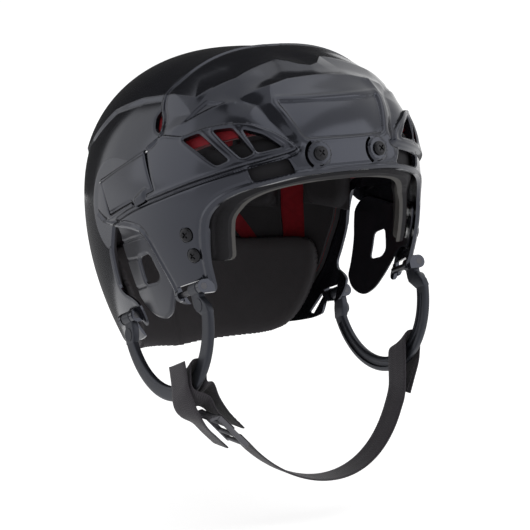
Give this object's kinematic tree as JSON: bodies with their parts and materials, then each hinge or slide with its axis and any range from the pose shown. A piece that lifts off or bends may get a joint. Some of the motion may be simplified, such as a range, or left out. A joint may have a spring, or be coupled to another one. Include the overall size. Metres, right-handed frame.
{
  "type": "ice hockey helmet",
  "caption": "Two-piece adjustable ice hockey helmet with side vents, foam liner, ear guards, ear loops and a webbing chin strap with buckle.",
  "frame": {"origin": "middle of the head cavity at the level of the widest part of the head, where the head mount is", "axes": "face opening towards -Y, wearer's left towards +X, crown towards +Z; the base plane falls 21 degrees to the rear, as the helmet is worn"},
  "size_m": [0.21, 0.2586, 0.291],
  "materials": {
    "shell": "glossy moulded black",
    "guard": "smooth moulded black",
    "loop": "satin dark grey elastomer",
    "screw": "black coated steel",
    "steel": "plated steel",
    "pad_grey": "skinned grey foam",
    "foam_red": "moulded red foam",
    "pad_black": "skinned black foam",
    "webbing": "woven nylon",
    "buckle": "moulded grey nylon"
  },
  "bodies": {
    "root": {"front_shell": "shell", "latch_pins": "steel", "ear_guard_right": "guard", "ear_guard_left": "guard", "front_loop_bars": "steel", "forehead_screws": "screw", "forehead_inserts": "steel", "side_screws": "screw", "side_inserts": "steel", "brow_pad": "pad_grey", "front_liner": "foam_red"},
    "rear": {"rear_shell": "shell", "rear_loop_bars": "steel", "rear_liner": "foam_red", "back_pad": "pad_black", "side_pad_right": "pad_black", "side_pad_left": "pad_black", "corner_pads": "pad_black", "rear_pad": "pad_black", "crown_pad": "pad_black"},
    "latch_r": {"latch_right": "shell"},
    "latch_l": {"latch_left": "shell"},
    "loop_r": {"ear_loop_right": "loop", "loop_studs_right": "loop"},
    "loop_l": {"ear_loop_left": "loop", "loop_studs_left": "loop"},
    "strap": {"chin_strap": "webbing", "strap_anchor": "webbing", "strap_tail": "webbing", "buckle": "buckle"}
  },
  "joints": [
    {"name": "size_slide", "type": "slide", "parent": "root", "child": "rear", "axis": [0, 0.9336, -0.3584], "range_m": [0, 0.012]},
    {"name": "latch_lift_right", "type": "hinge", "parent": "root", "child": "latch_r", "pos_m": [-0.10254, 0.008, 0.018], "axis": [-0.1082, 0.8854, -0.4521], "range_deg": [0, 75]},
    {"name": "latch_lift_left", "type": "hinge", "parent": "root", "child": "latch_l", "pos_m": [0.10254, 0.008, 0.018], "axis": [-0.1082, -0.8854, 0.4521], "range_deg": [0, 75]},
    {"name": "loop_swing_right", "type": "hinge", "parent": "rear", "child": "loop_r", "pos_m": [-0.085, -0.082, -0.042], "axis": [0, 0.9336, -0.3584], "range_deg": [-8, 8]},
    {"name": "loop_swing_left", "type": "hinge", "parent": "rear", "child": "loop_l", "pos_m": [0.085, -0.082, -0.042], "axis": [0, 0.9336, -0.3584], "range_deg": [-8, 8]},
    {"name": "strap_turn", "type": "hinge", "parent": "loop_r", "child": "strap", "pos_m": [-0.085, -0.075, -0.107], "axis": [0, 0.9336, -0.3584], "range_deg": [-8, 8]}
  ],
  "couplings": [
    {"joint": "loop_swing_left", "follows": "loop_swing_right", "ratio": 1},
    {"joint": "strap_turn", "follows": "loop_swing_right", "ratio": -1}
  ]
}
